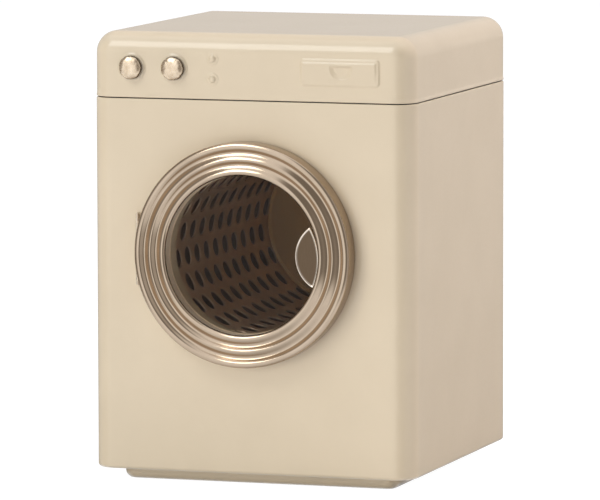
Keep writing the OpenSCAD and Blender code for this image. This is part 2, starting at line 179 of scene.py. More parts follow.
def sweepRound(path, normals, profile):
    # profile rows are (offset outward, height); point = path + offset * outward, at that height
    offset, height = profile[:, :1], profile[:, 1:]
    x = path[:, 0] + offset * normals[:, 0]
    y = path[:, 1] + offset * normals[:, 1]
    return np.stack([x, y, height + 0 * x], -1)


def turned(profile, segments, y0):
    # profile rows are (radius, height in front of y0), turned about the door's axis
    a = np.linspace(0, tau, segments, endpoint=False)
    r, h = profile[:, :1], profile[:, 1:]
    x, z = doorAxis[0] + r * np.cos(a), doorAxis[1] + r * np.sin(a)
    return np.stack([x, y0 - h + 0 * r * a, z], -1)


def squareEdge(side, along):
    # points round a unit square about the origin, from its lower left corner: so many on the lower and upper
    # edges (side) and on the right and left ones (along)
    u, v = (np.linspace(-0.5, 0.5, n + 1)[:-1] for n in (side, along))
    low, right = np.full(side, -0.5), np.full(along, 0.5)
    return np.concatenate([np.stack(edge, 1) for edge in ((u, low), (right, v), (-u, -low), (-right, -v))])


def squareToCircle(count, half, radius, rings):
    # rings of points from a square's edge (first) to a circle inside it (last), 4*count points each
    square = 2 * half * squareEdge(count, count)
    angle = np.arctan2(square[:, 1], square[:, 0])
    circle = radius * np.stack([np.cos(angle), np.sin(angle)], 1)
    t = (np.linspace(0, 1, rings) ** 0.8)[:, None, None]  # the rings crowd a little toward the circle
    return square * (1 - t) + circle * t


def newGroup(name, inputs, outputs):
    # inputs: (name, value); outputs: names of plain values
    group = bpy.data.node_groups.new(name, "ShaderNodeTree")
    for label, value in inputs:
        socket = group.interface.new_socket(label, in_out="INPUT", socket_type="NodeSocketFloat")
        socket.default_value = value
    for label in outputs:
        group.interface.new_socket(label, in_out="OUTPUT", socket_type="NodeSocketFloat")
    return group, group.nodes.new("NodeGroupInput"), group.nodes.new("NodeGroupOutput")


def feed(tree, value, socket):
    # a plain number goes into the socket itself, and an output is linked to it
    if isinstance(value, (int, float)):
        socket.default_value = value
    else:
        tree.links.new(value, socket)


def addMath(tree, operation, a, b=None, clamp=False):
    node = tree.nodes.new("ShaderNodeMath")
    node.operation = operation
    node.use_clamp = clamp
    feed(tree, a, node.inputs[0])
    if b is not None:
        feed(tree, b, node.inputs[1])
    return node.outputs[0]


def addRange(tree, value, low, high, fromLow=0.0, fromHigh=1.0):
    node = tree.nodes.new("ShaderNodeMapRange")
    tree.links.new(value, node.inputs["Value"])
    node.inputs["From Min"].default_value = fromLow
    node.inputs["From Max"].default_value = fromHigh
    node.inputs["To Min"].default_value = low
    node.inputs["To Max"].default_value = high
    return node.outputs[0]


def addNoise(tree, vector, scale, detail=3.0, rough=0.5):
    node = tree.nodes.new("ShaderNodeTexNoise")
    tree.links.new(vector, node.inputs["Vector"])
    feed(tree, scale, node.inputs["Scale"])
    node.inputs["Detail"].default_value = detail
    node.inputs["Roughness"].default_value = rough
    return node.outputs["Fac"]


def objectPlace(tree):
    return tree.nodes.new("ShaderNodeTexCoord").outputs["Object"]


def buildMottle():
    # slow cloudy change of a coat plus a fine grain; both run from 0 to 1
    inputs = (("Cloud Scale", 60.0), ("Grain Scale", 2500.0))
    group, inlet, outlet = newGroup("coatMottle", inputs, ("Cloud", "Grain"))
    place = objectPlace(group)
    cloud = addNoise(group, place, inlet.outputs["Cloud Scale"], 4.0, 0.55)
    grain = addNoise(group, place, inlet.outputs["Grain Scale"], 2.0, 0.6)
    for label, value in (("Cloud", cloud), ("Grain", grain)):
        spread = addRange(group, value, 0.0, 1.0, fromLow=0.3, fromHigh=0.7)  # noise keeps near its middle
        group.links.new(spread, outlet.inputs[label])
    return group


def buildTurnedLines():
    # concentric brushing about a line along Y through (Centre X, Centre Z): noise on the distance from it
    inputs = (("Centre X", 0.0), ("Centre Z", 0.0), ("Line Scale", 9000.0), ("Stretch", 25.0))
    group, inlet, outlet = newGroup("turnedLines", inputs, ("Lines", "Streaks"))
    split = group.nodes.new("ShaderNodeSeparateXYZ")
    group.links.new(objectPlace(group), split.inputs[0])
    x = addMath(group, "SUBTRACT", split.outputs["X"], inlet.outputs["Centre X"])
    z = addMath(group, "SUBTRACT", split.outputs["Z"], inlet.outputs["Centre Z"])
    squares = [addMath(group, "MULTIPLY", value, value) for value in (x, z)]
    radius = addMath(group, "SQRT", addMath(group, "ADD", *squares))
    turn = addMath(group, "DIVIDE", addMath(group, "ARCTAN2", z, x), inlet.outputs["Stretch"])
    around = addMath(group, "MULTIPLY", turn, 0.02)
    join = group.nodes.new("ShaderNodeCombineXYZ")
    for k, value in enumerate((radius, split.outputs["Y"], around)):
        group.links.new(value, join.inputs[k])
    broadScale = addMath(group, "MULTIPLY", inlet.outputs["Line Scale"], 0.16)
    lines = addNoise(group, join.outputs[0], inlet.outputs["Line Scale"], 3.0, 0.7)
    streaks = addNoise(group, join.outputs[0], broadScale, 2.0, 0.6)
    group.links.new(lines, outlet.inputs["Lines"])
    group.links.new(streaks, outlet.inputs["Streaks"])
    return group


def buildScuffs():
    # thin crossing hairlines and small pits of use, 0 almost everywhere: a hairline runs where a stretched
    # noise passes through its middle value, and only in patches
    group, inlet, outlet = newGroup("handScuffs", (("Scale", 160.0), ("Width", 0.02)), ("Hairlines", "Pits"))
    place, scale = objectPlace(group), inlet.outputs["Scale"]
    total = None
    for turn, squeeze in ((0.5, 7.0), (-0.8, 9.0), (1.9, 6.0)):
        mapping = group.nodes.new("ShaderNodeMapping")
        mapping.inputs["Rotation"].default_value = (0.3 * turn, turn, 0.2)
        mapping.inputs["Scale"].default_value = (1.0, 1.0, squeeze)
        group.links.new(place, mapping.inputs["Vector"])
        noise = addNoise(group, mapping.outputs[0], scale, 1.0, 0.4)
        offMiddle = addMath(group, "ABSOLUTE", addMath(group, "SUBTRACT", noise, 0.5))
        reach = addMath(group, "MULTIPLY", inlet.outputs["Width"], 0.25)
        line = addMath(group, "LESS_THAN", offMiddle, reach)
        total = line if total is None else addMath(group, "MAXIMUM", total, line)
    patches = addNoise(group, place, addMath(group, "MULTIPLY", scale, 0.7), 2.0)
    sparse = addMath(group, "GREATER_THAN", patches, 0.56)
    group.links.new(addMath(group, "MULTIPLY", total, sparse), outlet.inputs["Hairlines"])
    cells = group.nodes.new("ShaderNodeTexVoronoi")
    group.links.new(place, cells.inputs["Vector"])
    group.links.new(addMath(group, "MULTIPLY", scale, 5.0), cells.inputs["Scale"])
    group.links.new(addMath(group, "LESS_THAN", cells.outputs["Distance"], 0.12), outlet.inputs["Pits"])
    return group


mottleGroup = buildMottle()
linesGroup = buildTurnedLines()
scuffGroup = buildScuffs()
print("shader groups ready")


def placeGroup(tree, group, **values):
    node = tree.nodes.new("ShaderNodeGroup")
    node.node_tree = group
    for key, value in values.items():
        node.inputs[key.replace("_", " ")].default_value = value
    return node


def newMaterial(name, metallic=0.0, **sockets):
    material = bpy.data.materials.new(name)
    material.use_nodes = True
    tree = material.node_tree
    shader = tree.nodes["Principled BSDF"]
    shader.inputs["Metallic"].default_value = metallic
    for key, value in sockets.items():
        shader.inputs[key.replace("_", " ")].default_value = value
    return material, tree, shader


def connect(tree, shader, **outputs):
    # leads each output to the shader's socket of that name
    for key, value in outputs.items():
        tree.links.new(value, shader.inputs[key.replace("_", " ")])


def mixColours(tree, mask, low, high):
    # low where the mask is 0, high where it is 1; each is a fixed colour or an output
    node = tree.nodes.new("ShaderNodeMix")
    node.data_type = "RGBA"
    tree.links.new(mask, node.inputs["Factor"])
    for k, colour in ((6, low), (7, high)):  # the two colour sockets, which share their names with others
        if isinstance(colour, tuple):
            node.inputs[k].default_value = (*colour, 1)
        else:
            tree.links.new(colour, node.inputs[k])
    return node.outputs[2]


def readMark(tree, name):
    # the number that a piece's points carry
    node = tree.nodes.new("ShaderNodeAttribute")
    node.attribute_name = name
    return node.outputs["Fac"]


def addBump(tree, height, strength, distance, chain=None):
    node = tree.nodes.new("ShaderNodeBump")
    node.inputs["Strength"].default_value = strength
    node.inputs["Distance"].default_value = distance
    tree.links.new(height, node.inputs["Height"])
    if chain:
        tree.links.new(chain, node.inputs["Normal"])
    return node.outputs[0]


def makePaint():
    # cream enamel on sheet: faint clouds, soft waviness of the sheet, fine orange peel under a clear gloss
    values = {"low": (0.718, 0.594, 0.420), "high": (0.751, 0.624, 0.445), "rough": (0.36, 0.46)}
    gloss = {"Coat_Weight": 0.8, "Coat_Roughness": 0.09, "Coat_IOR": 1.5, "Specular_IOR_Level": 0.25}
    material, tree, shader = newMaterial("creamEnamel", **gloss)
    mottle = placeGroup(tree, mottleGroup, Cloud_Scale=45.0, Grain_Scale=1500.0)
    waves = placeGroup(tree, mottleGroup, Cloud_Scale=22.0, Grain_Scale=420.0)
    soft = addBump(tree, waves.outputs["Cloud"], 0.15, 0.0003)
    connect(tree, shader,
            Base_Color=mixColours(tree, mottle.outputs["Cloud"], values["low"], values["high"]),
            Roughness=addRange(tree, mottle.outputs["Grain"], *values["rough"]),
            Normal=addBump(tree, waves.outputs["Grain"], 0.05, 0.00004, soft))
    return material


def makeGold():
    # champagne gold lacquer over turned brushing, centred on the door
    values = {"low": (0.42, 0.325, 0.235), "high": (0.48, 0.375, 0.275), "rough": (0.10, 0.17)}
    material, tree, shader = newMaterial("champagneGold", 1.0)
    centre = {"Centre_X": doorAxis[0] * mm, "Centre_Z": doorAxis[1] * mm}
    lines = placeGroup(tree, linesGroup, Line_Scale=9000.0, **centre)
    mottle = placeGroup(tree, mottleGroup, Cloud_Scale=120.0, Grain_Scale=3000.0)
    connect(tree, shader,
            Base_Color=mixColours(tree, mottle.outputs["Cloud"], values["low"], values["high"]),
            Roughness=addRange(tree, lines.outputs["Streaks"], *values["rough"]),
            Normal=addBump(tree, lines.outputs["Lines"], 0.08, 0.00003))
    return material


def makeGrip():
    # darker gold, brushed straight up and down, with a polished rim that is also painted much lighter as a
    # highlight
    # the rim colour below is a painted highlight, far lighter than the plate
    values = {"low": (0.10, 0.067, 0.041), "high": (0.142, 0.098, 0.063), "rough": (0.38, 0.5),
              "rim": (0.80, 0.70, 0.58), "rimPolish": 0.6}
    material, tree, shader = newMaterial("brushedGrip", 1.0)
    mapping = tree.nodes.new("ShaderNodeMapping")
    mapping.inputs["Scale"].default_value = (14.0, 1.0, 0.7)
    tree.links.new(objectPlace(tree), mapping.inputs["Vector"])
    grain = addNoise(tree, mapping.outputs[0], 600.0, 3.0, 0.7)
    rim = readMark(tree, "rim")
    plate = mixColours(tree, grain, values["low"], values["high"])
    polish = addMath(tree, "SUBTRACT", 1.0, addMath(tree, "MULTIPLY", rim, values["rimPolish"]))
    connect(tree, shader,
            Base_Color=mixColours(tree, rim, plate, values["rim"]),
            Roughness=addMath(tree, "MULTIPLY", addRange(tree, grain, *values["rough"]), polish),
            Normal=addBump(tree, grain, 0.12, 0.00004))
    return material


def makeDrumMetal(name, low, high):
    # warm sheet with a rolled grain, cloudy with handling
    values = {"metallic": 0.85, "rough": (0.42, 0.58), "clouds": 0.65, "dust": 0.35}
    material, tree, shader = newMaterial(name, values["metallic"])
    mottle = placeGroup(tree, mottleGroup, Cloud_Scale=90.0, Grain_Scale=1800.0)
    scuffs = placeGroup(tree, scuffGroup, Scale=180.0, Width=0.03)
    clouds = addMath(tree, "MULTIPLY", mottle.outputs["Cloud"], values["clouds"])
    dust = addMath(tree, "MULTIPLY", mottle.outputs["Grain"], values["dust"])
    grainy = addBump(tree, mottle.outputs["Grain"], 0.15, 0.00006)
    connect(tree, shader,
            Base_Color=mixColours(tree, addMath(tree, "ADD", clouds, dust, clamp=True), low, high),
            Roughness=addRange(tree, mottle.outputs["Grain"], *values["rough"]),
            Normal=addBump(tree, scuffs.outputs["Hairlines"], -0.1, 0.00003, grainy))
    return material


def makeBrass():
    # warm brass, cloudy and pitted with use, and painted darker round its edge as shade
    values = {"low": (0.56, 0.43, 0.30), "high": (0.76, 0.62, 0.46), "rough": (0.22, 0.34),
              "edge": (0.10, 0.07, 0.045)}
    material, tree, shader = newMaterial("hammeredBrass", 1.0)
    mottle = placeGroup(tree, mottleGroup, Cloud_Scale=700.0, Grain_Scale=3500.0)
    scuffs = placeGroup(tree, scuffGroup, Scale=600.0, Width=0.05)
    clean = mixColours(tree, mottle.outputs["Cloud"], values["low"], values["high"])
    uneven = addBump(tree, mottle.outputs["Cloud"], 0.35, 0.00008)
    connect(tree, shader,
            # the marked edge takes the dark edge colour: painted shade round the dome's rim and side
            Base_Color=mixColours(tree, readMark(tree, "rim"), clean, values["edge"]),
            Roughness=addRange(tree, mottle.outputs["Grain"], *values["rough"]),
            Normal=addBump(tree, scuffs.outputs["Pits"], -0.25, 0.00005, uneven))
    return material


def makeTin():
    # bare tinned sheet with a faint crystal pattern and hairlines
    values = {"low": (0.36, 0.34, 0.31), "high": (0.50, 0.48, 0.44), "rough": (0.30, 0.48)}
    material, tree, shader = newMaterial("bareTin", 0.9)
    mottle = placeGroup(tree, mottleGroup, Cloud_Scale=150.0, Grain_Scale=2200.0)
    scuffs = placeGroup(tree, scuffGroup, Scale=220.0, Width=0.03)
    connect(tree, shader,
            Base_Color=mixColours(tree, mottle.outputs["Cloud"], values["low"], values["high"]),
            Roughness=addRange(tree, mottle.outputs["Grain"], *values["rough"]),
            Normal=addBump(tree, scuffs.outputs["Hairlines"], -0.15, 0.00003))
    return material


def makeWindow():
    # thin clear plastic: mostly open, with a gloss and a few hairlines that catch the light
    values = {"colour": (0.05, 0.045, 0.04), "haze": 0.02,
              "cover": (0.07, 0.13)}  # how much it hides where it is clear, and on a hairline
    material, tree, shader = newMaterial("clearWindow", 0.0, Roughness=0.06, IOR=1.5)
    shader.inputs["Base Color"].default_value = (*values["colour"], 1)
    scuffs = placeGroup(tree, scuffGroup, Scale=70.0, Width=0.012)
    haze = placeGroup(tree, mottleGroup, Cloud_Scale=60.0, Grain_Scale=900.0)
    lines = addRange(tree, scuffs.outputs["Hairlines"], *values["cover"])
    clouded = addMath(tree, "MULTIPLY", haze.outputs["Cloud"], values["haze"])
    connect(tree, shader, Alpha=addMath(tree, "ADD", lines, clouded))
    return material


def makeCoat(name, low, high, rough, metallic=0.0, specular=0.5):
    # plain finish with faint clouds and a fine grain
    material, tree, shader = newMaterial(name, metallic, Specular_IOR_Level=specular)
    mottle = placeGroup(tree, mottleGroup, Cloud_Scale=400.0, Grain_Scale=2500.0)
    connect(tree, shader,
            Base_Color=mixColours(tree, mottle.outputs["Cloud"], low, high),
            Roughness=addRange(tree, mottle.outputs["Grain"], *rough),
            Normal=addBump(tree, mottle.outputs["Grain"], 0.15, 0.00005))
    return material


paint = makePaint()
gold = makeGold()
gripGold = makeGrip()
drumMetal = makeDrumMetal("drumSheet", (0.66, 0.50, 0.35), (0.83, 0.63, 0.45))
drumBackMetal = makeDrumMetal("drumBackSheet", (0.49, 0.32, 0.15), (0.60, 0.40, 0.195))
brass = makeBrass()
tin = makeTin()
window = makeWindow()
seal = makeCoat("softSeal", (0.62, 0.48, 0.31), (0.68, 0.53, 0.35), (0.4, 0.55))
satinLip = makeCoat("satinLip", (0.78, 0.63, 0.46), (0.86, 0.71, 0.53), (0.3, 0.42), 0.15)
# brown primer for the inner faces: partly their own coat, partly painted shade that darkens the inside seen
# through the drum's holes
primerShade = makeCoat("brownPrimerShade", (0.40, 0.265, 0.175), (0.50, 0.34, 0.235), (0.5, 0.7), specular=0.15)
# near-black tin for the cap's neck: painted shade for the seam between cap and cabinet
seamShadeTin = makeCoat("seamShadeTin", (0.035, 0.03, 0.026), (0.07, 0.06, 0.052), (0.45, 0.6), 0.6)
hingeGold = makeCoat("hingeGold", (0.60, 0.50, 0.38), (0.68, 0.58, 0.45), (0.25, 0.36), 0.55)
magnet = makeCoat("magnetGrey", (0.06, 0.06, 0.065), (0.11, 0.11, 0.115), (0.35, 0.5), 0.8)
print("materials ready")


controls = {
    "row": 115.3, "knobs": (-34.4, -22.1),
    "seatRadius": 3.8, "seatSlope": 0.35, "seatRaise": 0.35,
    "buttonX": -10.9, "buttonPitch": 5.6, "buttonFoot": (1.25, 1.8), "footRaise": 0.28,
    "buttonRadius": 1.05, "buttonRaise": 0.45, "grooveRadius": 1.12, "grooveWidth": 0.2, "grooveDepth": 0.20,
    "drawer": (14.4, 37.3, 111.2, 118.9), "drawerCorner": 1.2, "drawerRaise": 0.34,
    "drawerSlope": (0.05, -0.55),  # a slope gives the distances from an outline where it starts and is full
    "panelLow": 1.5, "panelHigh": 0.95, "panelCorner": 0.5, "panelFade": 1.5, "panelRaise": 0.30,
    "panelSlope": (0.05, -0.5), "panelMargin": (0.05, -0.9),
    "moon": (26.25, 116.0, 3.0), "moonSlope": (0.05, -0.4),
    "bowl": (0.35, 0.25, 116.95, 0.25), "scoop": (0.45, -0.35, 116.85, 0.20),  # up, wider, flat top, depth
}


def boxDistance(x, z, x0, x1, z0, z1, r):
    # signed distance to a rounded rectangle, negative inside
    qx = np.abs(x - (x0 + x1) / 2) - (x1 - x0) / 2 + r
    qz = np.abs(z - (z0 + z1) / 2) - (z1 - z0) / 2 + r
    return np.hypot(np.maximum(qx, 0), np.maximum(qz, 0)) + np.minimum(np.maximum(qx, qz), 0) - r


def pressedRelief(x, z):
    # height of the pressed shapes above the cap's front: round knob seats, two domed buttons in a groove, the
    # drawer front with a panel that fades out downward, and its half-moon sunk in two steps
    c = controls
    relief = np.zeros_like(x)
    for knobX in c["knobs"]:
        r = np.hypot(x - knobX, z - c["row"])
        slope = smoothStep(c["seatRadius"] - c["seatSlope"], c["seatRadius"] + c["seatSlope"], r)
        relief += c["seatRaise"] * (1 - slope)
    for side in (-0.5, 0.5):
        r = np.hypot(x - c["buttonX"], z - c["row"] - side * c["buttonPitch"])
        relief += c["footRaise"] * (1 - smoothStep(*c["buttonFoot"], r))
        relief += c["buttonRaise"] * np.maximum(0, 1 - (r / c["buttonRadius"]) ** 2)
        relief -= c["grooveDepth"] * np.exp(-((r - c["grooveRadius"]) / c["grooveWidth"]) ** 2)
    x0, x1, z0, z1 = c["drawer"]
    edge = boxDistance(x, z, x0, x1, z0, z1, c["drawerCorner"])
    relief += c["drawerRaise"] * smoothStep(*c["drawerSlope"], edge)
    low, high = c["panelLow"], c["panelHigh"]
    panel = boxDistance(x, z, x0 - low, x1 - high, z0 - low, z1 - high, c["panelCorner"])
    raised = smoothStep(*c["panelSlope"], panel) * smoothStep(*c["panelMargin"], edge)
    relief += c["panelRaise"] * raised * smoothStep(z0, z1 - c["panelFade"], z)
    moonX, moonZ, moonR = c["moon"]
    for up, wider, flatTop, depth in (c["bowl"], c["scoop"]):
        sunk = np.maximum(np.hypot(x - moonX, z - moonZ - up) - moonR - wider, z - flatTop)
        relief -= depth * smoothStep(*c["moonSlope"], sunk)
    return relief


cap = {
    "edgeRadius": 5.9, "edgeSteps": 26, "innerSteps": 8,
    "flare": 0.12,  # how far the lower edge stands out from the wall above it
    "hemRadius": 0.2, "hemSteps": 5, "curlStart": 0.3, "curlHeight": 0.9, "curlSteps": 9,
    "wallStart": 1.5, "wallStep": 0.6, "reliefStart": (110.6, 110.8), "reliefStep": 0.21,
    "fineZones": ((-38.9, -17.6), (-13.0, -8.8), (13.6, 38.1)), "fine": 0.23, "coarse": 1.2,
    "plainStep": 4.0, "topRings": 14, "underRings": (0.6, 0.2), "reliefTop": 1.5,
}


def drawnIn(row, shares, z):
    # copies of a closed row at height z, each drawn in to its share of the way from the middle
    return row[None] * np.array([1, 1, 0]) * np.asarray(shares)[:, None, None] + np.array([0, 0, z])


def buildCap():
    # sweep round the cabinet's plan: curled lower edge, wall, quarter-round edge, then the top drawn in to
    # its middle; an inner skin one sheet inside it meets it along the lower edge
    c, sheet = cap, cabinet["sheet"]
    low, high = cabinet["seamHeight"] + cabinet["seamGap"] / 2, cabinet["height"]
    rim, flare, hem = c["edgeRadius"], c["flare"], c["hemRadius"]
    half = cabinet["width"] / 2 - cabinet["cornerRadius"]
    frontX = stepsWithZones(-half, half, c["fineZones"], c["fine"], c["coarse"])
    path, normals = roundedPath(frontX, c["plainStep"], cleanSteps(-half, half, c["plainStep"]))
    foot = [[-sheet, low], [-(sheet + hem) / 2, low]]
    roll = arc(-hem, low + hem, hem, -80, 0, c["hemSteps"])
    t = np.linspace(0, 1, c["curlSteps"])
    curl = np.stack([-flare * smoothStep(0, 1, t), low + c["curlStart"] + c["curlHeight"] * t], 1)
    plainWall = cleanSteps(low + c["wallStart"], c["reliefStart"][0], c["wallStep"])
    wall = np.concatenate([plainWall, cleanSteps(c["reliefStart"][1], high - rim, c["reliefStep"])])
    bend = arc(-rim, high - rim, rim - flare, 0, 90, c["edgeSteps"])
    bend[:, 1] += flare * smoothStep(0, 1, np.linspace(0, 1, c["edgeSteps"]))
    outer = np.concatenate([foot, roll, curl, np.stack([0 * wall - flare, wall], 1), bend[1:]])
    grid = sweepRound(path, normals, outer)
    front = (normals[:, 1] < -0.999)[None, :] & (grid[..., 2] < high - c["reliefTop"])
    grid[..., 1] -= np.where(front, pressedRelief(grid[..., 0], grid[..., 2]), 0)
    outside = np.concatenate([grid, drawnIn(grid[-1], np.linspace(1, 0, c["topRings"])[1:-1], high)])
    innerBend = arc(-rim, high - rim, rim - sheet, 0, 90, c["innerSteps"])[1:]
    lower = sweepRound(path, normals, np.concatenate([[[-sheet, high - rim]], innerBend]))
    inward = np.concatenate([lower, drawnIn(lower[-1], c["underRings"], high - sheet)])
    n, base = len(path), len(outside) * len(path)
    apexes = [[0, 0, high], [0, 0, high - sheet]]
    points = np.concatenate([outside.reshape(-1, 3), inward.reshape(-1, 3), apexes])
    quads = gridQuads(len(outside), n, closeCols=True)
    innerQuads = gridQuads(len(inward), n, closeCols=True, first=base)[:, ::-1]
    j = np.arange(n)
    j2 = np.roll(j, -1)
    seam = np.stack([j, base + j, base + j2, j2], 1)
    apex = len(points) - 2
    tris = np.concatenate([fan(base - n, n, apex), fan(apex - n, n, apex + 1, flip=True)])
    piece = makePiece("topCap", points, np.concatenate([quads, innerQuads, seam]), tris,
                      "cabinet", paint, ("top_cap",))
    # the inner skin and the last fan, which closes it, show the brown primer, which is partly painted shade
    # for the cabinet's inside
    inside = np.repeat([False, True, False, True], [len(quads), len(innerQuads), 2 * n, n])
    secondMaterial(piece, primerShade, inside)


buildCap()
print("cap ready")


wrap = {
    "plinthHeight": 3.6, "hemRadius": 1.0, "hemSteps": 20,
    "hemTurn": 2.2,  # the inner face ends this many hem radii above the foot
    "lipRadius": 0.3, "lipSteps": 6, "wallEnd": 0.4, "wallStep": 1.7, "lowStep": 2.0, "sideStep": 3.0,
    "holeRadius": 23.45, "squareHalf": 27.0, "squareSteps": 36, "holeRings": 9,
    "lockX": 29.0, "lockWidth": 5.0, "lockRaise": 0.25, "lockSlope": (0.25, 0.1),  # seam down the back
    "lockZone": (0.4, 0.3), "lockStep": 0.12, "backStep": 3.0,
}


def buildWrap():
    # sweep of a closed wall section round the cabinet's plan, with a round hole let into its front
    c, sheet = wrap, cabinet["sheet"]
    half, square = cabinet["width"] / 2 - cabinet["cornerRadius"], c["squareHalf"]
    hem, low, high = c["hemRadius"], c["plinthHeight"], cabinet["seamHeight"] - cabinet["seamGap"] / 2
    hx, hz = doorAxis
    frontX = np.concatenate([cleanSteps(-half, hx - square, c["wallStep"])[:-1],
                             np.linspace(hx - square, hx + square, c["squareSteps"] + 1)[:-1],
                             cleanSteps(hx + square, half, c["wallStep"])])
    s0, s1 = c["lockX"] - c["lockWidth"] / 2, c["lockX"] + c["lockWidth"] / 2
    away, over = c["lockZone"]
    zones = ((s0 - away, s0 + over), (s1 - over, s1 + away))
    path, normals = roundedPath(frontX, c["sideStep"],
                                stepsWithZones(-half, half, zones, c["lockStep"], c["backStep"]))
    wallZ = np.concatenate([cleanSteps(low + hem, hz - square, c["lowStep"])[1:-1],
                            np.linspace(hz - square, hz + square, c["squareSteps"] + 1),
                            cleanSteps(hz + square, high - c["wallEnd"], c["wallStep"])[1:]])
    roll = arc(-hem, low + hem, hem, 120, 360, c["hemSteps"])
    lip = arc(-c["lipRadius"], high - c["lipRadius"], c["lipRadius"], 0, 90, c["lipSteps"])
    outer = np.concatenate([roll, np.stack([0 * wallZ, wallZ], 1), lip])
    innerZ = np.concatenate([[high], wallZ[::-1], [low + c["hemTurn"] * hem]])
    section = np.concatenate([outer, np.stack([0 * innerZ - sheet, innerZ], 1)])
    grid = sweepRound(path, normals, section)
    before, within = c["lockSlope"]
    lock = band(path[:, 0], s0 - before, s0 + within, s1 - within, s1 + before) * (normals[:, 1] > 0.999)
    outside = (section[:, 0] > -0.001) & (section[:, 1] > low + hem + 0.1)
    grid[..., 1] += c["lockRaise"] * lock[None] * outside[:, None]
    rows, cols = grid.shape[:2]
    quads = gridQuads(rows, cols, closeRows=True, closeCols=True)
    centre = grid.reshape(-1, 3)[quads].mean(1)
    inSquare = np.abs(centre[:, [0, 2]] - doorAxis).max(1) < square - 0.01
    quads = quads[~(inSquare & (centre[:, 1] < frontY + sheet + 0.1))]
    rings = squareToCircle(c["squareSteps"], square, c["holeRadius"], c["holeRings"])
    flat = np.stack([rings[..., 0] + hx, 0 * rings[..., 0] + frontY, rings[..., 1] + hz], -1)
    patch = np.concatenate([flat, flat[-1:] + [0, sheet / 2, 0], flat[::-1] + [0, sheet, 0]])
    first, around = rows * cols, patch.shape[1]
    patchQuads = gridQuads(len(patch), around, closeCols=True, first=first)
    points = np.concatenate([grid.reshape(-1, 3), patch.reshape(-1, 3)])
    piece = makePiece("cabinetSheet", points, np.concatenate([quads, patchQuads]), None,
                      "cabinet", paint, ("cabinet_wrap",))
    # the inner faces of the wall and of the hole's edge get the primer, partly painted shade
    inWall = (quads[:, 0] // cols >= len(outer)) & (quads[:, 0] // cols < rows - 1)
    inPatch = (patchQuads[:, 0] - first) // around >= len(flat) + 1
    secondMaterial(piece, primerShade, np.concatenate([inWall, inPatch]))
    weldPiece(piece)


buildWrap()
print("cabinet sheet ready")


ring = {
    "outer": 31.05, "inner": 22.0, "crest": 6.2, "wave": 1.0, "valley": 0.54, "valleySteps": (19, 17),
    "edge": (1.02, 1.27), "drop": 1.0, "straight": (0.35, -0.1), "gap": 0.3, "lip": 1.7,
    "lipHeights": (0.0, 0.12, 1.8), "sideHeights": (2.5, 0.12, 0.0),
    "innerBend": (180, 96, 12), "outerBend": (84, 0, 14),  # from, to, in degrees, and the number of points
    "segments": 288, "satinRows": 4,
}


def ringFace(offset):
    # ring section as rows of (radius, height): lip bend, three crests, outer bend, side; between two crests
    # the height falls on a cosine mixed with a straight line, then rises on a steeper one
    c = ring
    first, last = c["inner"] + c["edge"][0], c["outer"] - c["edge"][1]
    pitch = (last - first) / 2

    def bend(x, reach, a0, a1, n):
        a = np.radians(np.linspace(a0, a1, n))
        height = c["crest"] - c["drop"] + (c["drop"] - offset) * np.sin(a)
        return np.stack([x + (reach - offset) * np.cos(a), height], 1)

    valley, (fallSteps, riseSteps) = c["valley"], c["valleySteps"]
    u = np.concatenate([np.linspace(0, valley, fallSteps)[:-1], np.linspace(valley, 1, riseSteps)[:-1]])
    falling = u < valley
    share = np.where(falling, u / valley, (1 - u) / (1 - valley))
    blend = np.where(falling, *c["straight"])
    depth = c["wave"] * ((1 - blend) * (1 - np.cos(math.pi * share)) / 2 + blend * share)
    r = np.concatenate([first + pitch * u, first + pitch + pitch * u, [last]])
    waves = np.stack([r, c["crest"] - offset - np.concatenate([depth, depth, [0.0]])], 1)
    lip = [[c["inner"] + offset, c["lip"] + h] for h in c["lipHeights"]]
    side = [[c["outer"] - offset, c["gap"] + h] for h in c["sideHeights"]]
    innerBend = bend(first, c["edge"][0], *c["innerBend"])
    outerBend = bend(last, c["edge"][1], *c["outerBend"])
    return np.concatenate([lip, innerBend, waves, outerBend, side])


def buildRing():
    # closed section turned about the door's axis; the grid runs round the section and round the circle
    section = np.concatenate([ringFace(0.0), ringFace(cabinet["sheet"])[::-1]])
    grid = turned(section, ring["segments"], frontY)
    rows, cols = grid.shape[:2]
    quads = gridQuads(rows, cols, True, True)
    piece = makePiece("doorRing", grid, quads, None, "door", gold, ("door_ring",))
    secondMaterial(piece, satinLip, quads[:, 0] // cols < ring["satinRows"])
    weldPiece(piece)


pane = {
    "radius": 23.1, "back": 0.5, "front": 1.1, "crown": 0.06, "rim": 0.12,
    "middle": 0.04, "steps": 16, "rimSteps": 4, "segments": 128,
}


def buildWindow():
    # shallow disc with a rounded rim, crowned by a few hundredths toward the front
    c, gap = pane, ring["gap"]
    h0, h1, r, rim = gap + c["back"], gap + c["front"], c["radius"], c["rim"]
    steps = np.linspace(c["middle"], 1, c["steps"])
    front = np.stack([r * steps, h1 - c["crown"] + c["crown"] * (1 - steps ** 2)], 1)[:-1]
    rimFront = arc(r - rim, h1 - c["crown"] - rim, rim, 90, 0, c["rimSteps"])
    rimBack = arc(r - rim, h0 + rim, rim, 0, -90, c["rimSteps"])
    back = np.stack([r * steps, h0 + 0 * steps], 1)[:-1][::-1]
    grid = turned(np.concatenate([front, rimFront, rimBack, back]), c["segments"], frontY)
    rows, cols = grid.shape[:2]
    end = rows * cols
    middles = [[doorAxis[0], frontY - h, doorAxis[1]] for h in (h1, h0)]
    tris = np.concatenate([fan(0, cols, end), fan(end - cols, cols, end + 1, flip=True)])
    piece = makePiece("doorWindow", np.concatenate([grid.reshape(-1, 3), middles]),
                      gridQuads(rows, cols, False, True), tris,
                      "door", window, ("door_window",))
    weldPiece(piece)


